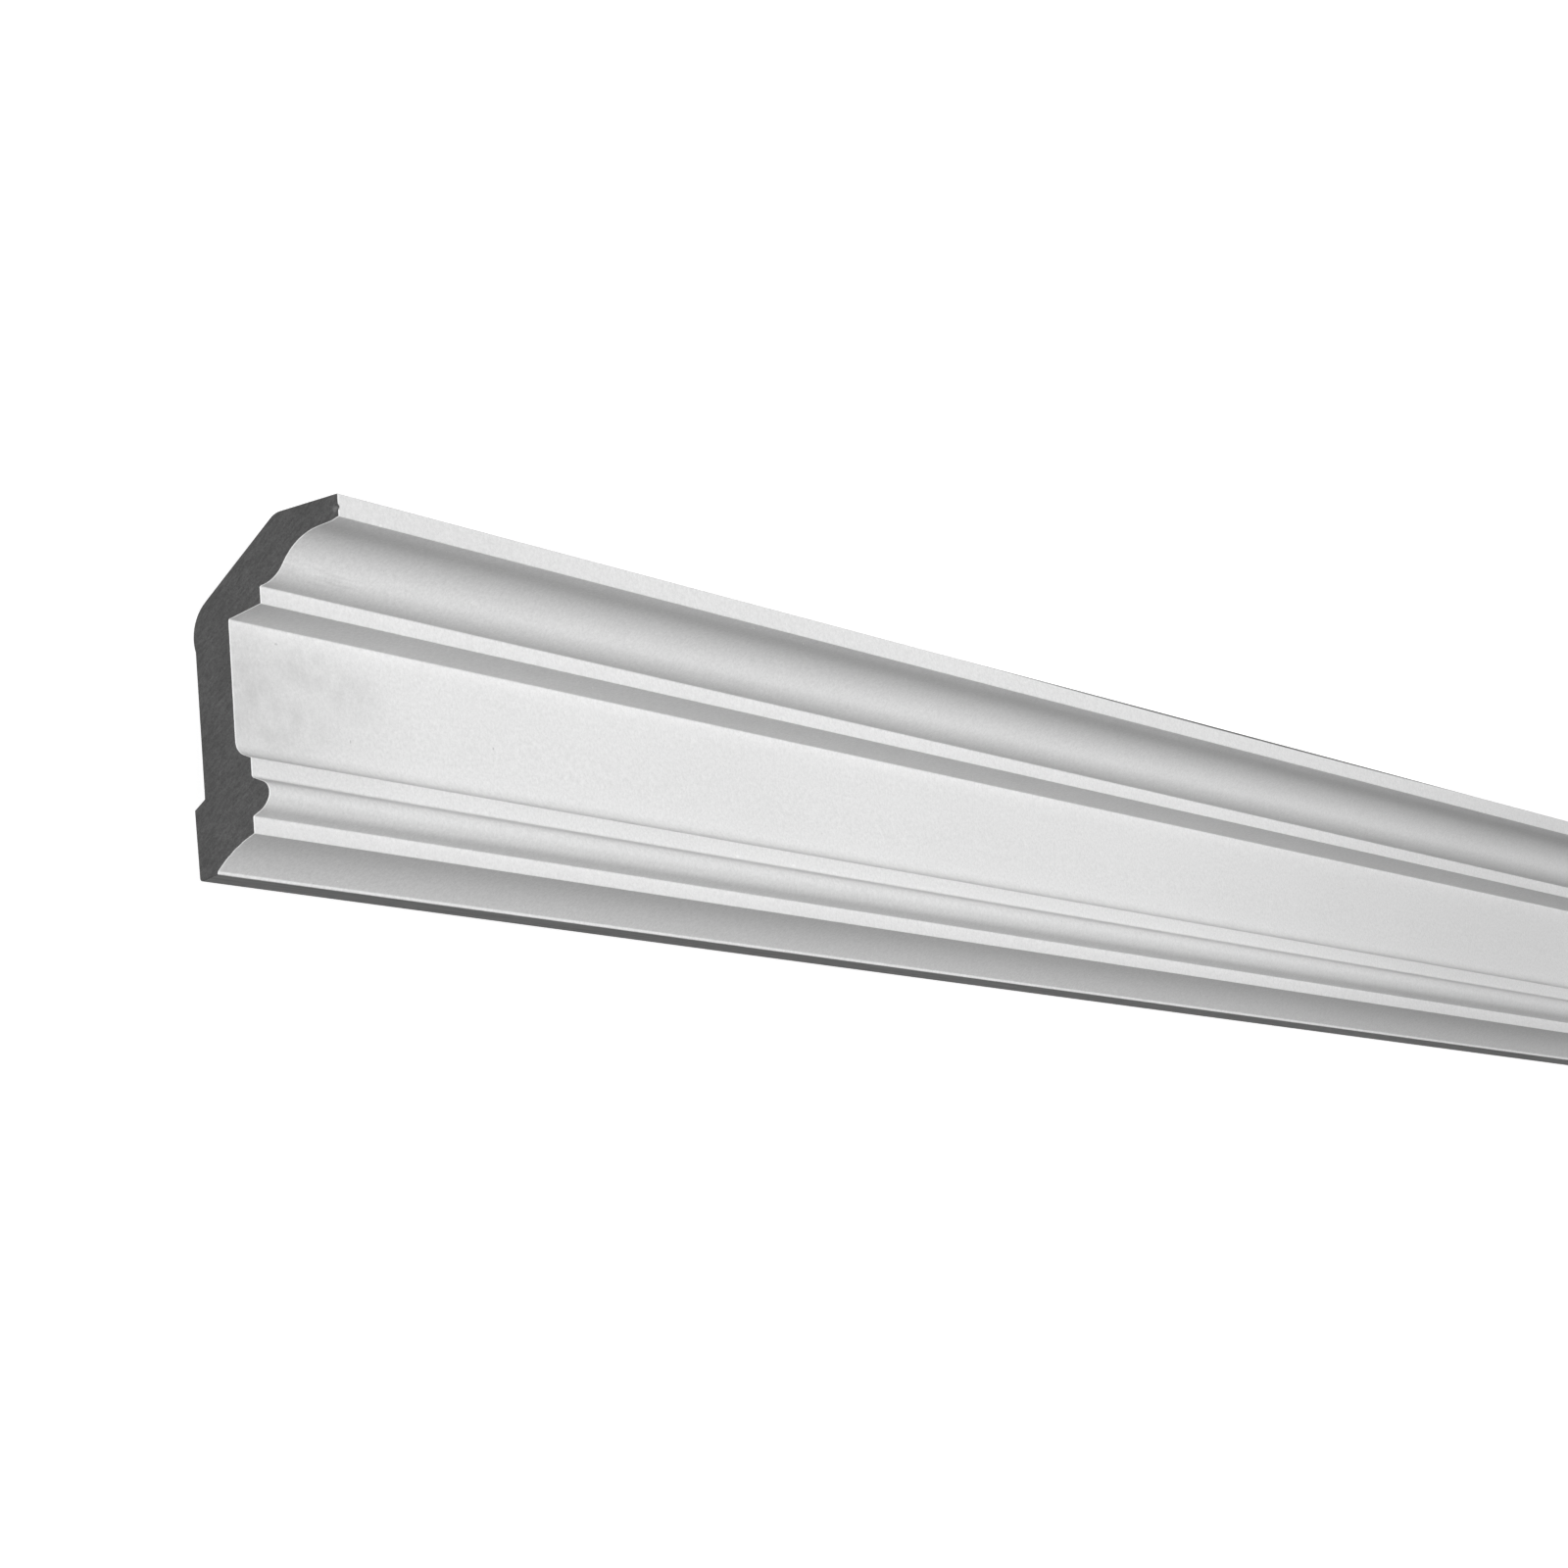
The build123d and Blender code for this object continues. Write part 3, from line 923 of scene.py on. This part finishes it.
def nib_tree(primer):
    """Small round grains scattered over the primed face, most of them along its arrises."""
    tree, node, given = geometry_tree(
        "Cornice nibs", density="Float", least="Float", most="Float", reach="Float", seed="Int"
    )
    # The saw took those nearest the ends
    at = node("SeparateXYZ", {0: node("GeometryNodeInputPosition")})
    along = node("Math", {0: at}, operation="ABSOLUTE")
    uncut = node("Math", {0: along, 1: given["reach"]}, operation="LESS_THAN")
    arris, primed = (
        node("GeometryNodeInputNamedAttribute", {"Name": name}, data_type="FLOAT")
        for name in ("arris", "primed")
    )
    in_face = node("Math", {0: primed, 1: ALL_CORNERS}, operation="GREATER_THAN")
    gather = node("Math", {0: arris, 1: NIB_SCATTER}, operation="ADD")
    gather = node("Math", {0: gather, 1: uncut}, operation="MULTIPLY")
    density = node("Math", {0: given["density"], 1: gather}, operation="MULTIPLY")
    points = node(
        "GeometryNodeDistributePointsOnFaces",
        {"Mesh": given["Geometry"], "Selection": in_face, "Density": density, "Seed": given["seed"]},
    )
    ball = {"Segments": NIB_SEGMENTS, "Rings": NIB_RINGS, "Radius": 1.0}
    limits = {"Min": given["least"], "Max": given["most"], "Seed": given["seed"]}
    radius = node("FunctionNodeRandomValue", limits, data_type="FLOAT")
    low = node("Math", {0: radius, 1: NIB_FLATNESS}, operation="MULTIPLY")
    placed = node(
        "GeometryNodeInstanceOnPoints",
        {
            "Points": points,
            "Instance": node("GeometryNodeMeshUVSphere", ball),
            "Rotation": points.outputs["Rotation"],
            "Scale": node("CombineXYZ", {0: radius, 1: radius, 2: low}),
        },
    )
    real = node("GeometryNodeRealizeInstances", {"Geometry": placed})
    smooth = node("GeometryNodeSetShadeSmooth", {"Geometry": real})
    coated = node("GeometryNodeSetMaterial", {"Geometry": smooth, "Material": primer})
    node("NodeGroupOutput", {"Geometry": coated})
    return tree


class CORNICE_OT_nibs(bpy.types.Operator):
    """Scatter the nibs that stand up under the primer"""

    bl_idname = "cornice.nibs"
    bl_label = "Nibs in the primer"

    def execute(self, context):
        given = context.scene.cornice.nibs
        low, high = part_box(NODE)
        made = applied(
            "cornice_nib_points",
            bpy.data.objects["cornice_moulding"].data,
            nib_tree(bpy.data.materials["white_primer_sprayed"]),
            density=given.density,
            least=given.least,
            most=given.most,
            reach=(high.x - low.x) / 2 - NIB_CLEARANCE,
            seed=given.seed,
        )
        piece = new_object("primer_nibs", made)
        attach(piece, BODY)
        return {"FINISHED"}


# Stage

# How much of the floor's white is its own glow, and how much is lit and so takes the shadow
GLOW = 0.9
SHADOW_SHARE = 0.4
# Each lamp's place, target, width and length in metres, and its spread in degrees. They hang over
# the face, as it was lit from in front, and a low one stands before each end and beside the ceiling
# edge. The narrow one lights the far half, and hardly reaches the part that the camera sees
LAMPS = {
    "near": ((-0.65, 0, 1.2), (-0.65, 0, 0), 0.85, 0.2, 180),
    "far": ((0.7, 0, 2.4), (0.7, 0, 0), 1.0, 0.4, 180),
    "beyond": ((0.72, 0, 0.9), (0.72, 0, 0), 1.0, 0.2, 60),
    "near_end": ((-1.9, -0.1, 0.35), (-1, 0, 0.03), 0.4, 0.4, 180),
    "far_end": ((1.9, -0.1, 0.35), (1, 0, 0.03), 0.4, 0.4, 180),
    "beside": ((0, 1.5, 0.14), (0, 0, 0.03), 1.6, 0.2, 180),
}


def seen(node):
    """1 where a ray shows the studio to the camera, straight or in a reflection, and 0 where it lights."""
    path = node("LightPath").outputs
    straight_or_glossy = {0: path["Is Camera Ray"], 1: path["Is Glossy Ray"]}
    looked_at = node("Math", straight_or_glossy, operation="MAXIMUM")
    return node("Math", {0: looked_at, 1: path["Is Transmission Ray"]}, operation="MAXIMUM")


def floor_material(stage):
    """Seamless white paper.

    It is seen white with the moulding's shadow on it, but lights the moulding no more than a grey
    floor would, as the moulding in the photograph hangs clear of any floor."""
    made, tree, node = material("white_paper_floor")
    tree.nodes.remove(tree.nodes["Principled BSDF"])
    lit = [c * SHADOW_SHARE for c in stage.paper]
    paper = node("BsdfDiffuse", {"Color": rgba(lit)})
    glow = node("Emission", {"Color": rgba(stage.paper), "Strength": GLOW})
    white = node("AddShader", {0: paper, 1: glow})
    grey = node("BsdfDiffuse", {"Color": rgba(stage.bounce)})
    either = node("MixShader", {0: seen(node), 1: grey, 2: white})
    tree.links.new(either.outputs[0], tree.nodes["Material Output"].inputs["Surface"])
    return made


def studio_world(stage):
    """An even, faint light from all round, seen as white."""
    world = bpy.data.worlds.new("studio")
    world.use_nodes = True
    tree = world.node_tree
    node = partial(add, tree)
    tree.nodes.remove(tree.nodes["Background"])
    fill = node("Background", {"Color": rgba(WHITE), "Strength": stage.fill})
    white = node("Background", {"Color": rgba(stage.paper), "Strength": 1.0})
    either = node("MixShader", {0: seen(node), 1: fill, 2: white})
    tree.links.new(either.outputs[0], tree.nodes["World Output"].inputs["Surface"])
    return world


def hang_lamp(name, watts, place, target, width, length, spread):
    """A soft rectangular lamp that faces a target."""
    data = bpy.data.lights.new(name, "AREA")
    data.shape = "RECTANGLE"
    data.size = width
    data.size_y = length
    data.spread = math.radians(spread)
    data.energy = watts
    lamp = new_object(name, data)
    lamp.location = place
    lamp.rotation_euler = (Vector(target) - Vector(place)).to_track_quat("-Z", "Y").to_euler()


class CORNICE_OT_stage(bpy.types.Operator):
    """Lay the pale floor, hang the lamps and stand the camera as in the photograph"""

    bl_idname = "cornice.stage"
    bl_label = "Floor, lamps and camera"

    def execute(self, context):
        scene = context.scene
        stage = scene.cornice.stage
        mesh = bpy.data.meshes.new("floor")
        edge = stage.floor_size / 2
        corners = [(-edge, -edge, 0), (edge, -edge, 0), (edge, edge, 0), (-edge, edge, 0)]
        mesh.from_pydata(corners, [], [(0, 1, 2, 3)])
        mesh.materials.append(floor_material(stage))
        floor = new_object("floor", mesh)
        for name, layout in LAMPS.items():
            hang_lamp(name + "_lamp", getattr(stage, name), *layout)
        scene.world = studio_world(stage)
        camera = bpy.data.cameras.new("camera")
        camera.lens = stage.lens
        view = new_object("camera", camera)
        view.location = stage.camera_place
        view.rotation_euler = Euler(stage.camera_turn)
        scene.camera = view
        scene.view_settings.view_transform = "Standard"
        return {"FINISHED"}


class CORNICE_PT_panel(bpy.types.Panel):
    """Sizes, colours and steps of the moulding"""

    bl_idname = "CORNICE_PT_panel"
    bl_label = "Cornice Moulding"
    bl_space_type = "VIEW_3D"
    bl_region_type = "UI"
    bl_category = "Cornice"

    def draw(self, context):
        given = context.scene.cornice
        for operator, groups in STEPS:
            box = self.layout.box()
            box.operator(operator.bl_idname)
            for group in groups:
                values = getattr(given, group)
                for name in values.__annotations__:
                    box.prop(values, name)


STEPS = (
    (CORNICE_OT_moulding, ("section", "ends", "finish")),
    (CORNICE_OT_nibs, ("nibs",)),
    (CORNICE_OT_stage, ("stage",)),
)
GROUPS = (CorniceSection, CorniceSawnEnd, CorniceFinish, CorniceNibs, CorniceStage, CorniceSettings)
CLASSES = (*GROUPS, *(operator for operator, groups in STEPS), CORNICE_PT_panel)


def register():
    for each in CLASSES:
        bpy.utils.register_class(each)
    bpy.types.Scene.cornice = PointerProperty(type=CorniceSettings)


def unregister():
    del bpy.types.Scene.cornice
    for each in reversed(CLASSES):
        bpy.utils.unregister_class(each)


def main():
    register()
    bpy.ops.cornice.moulding()
    bpy.ops.cornice.nibs()
    bpy.ops.cornice.stage()


if __name__ == "__main__":
    main()
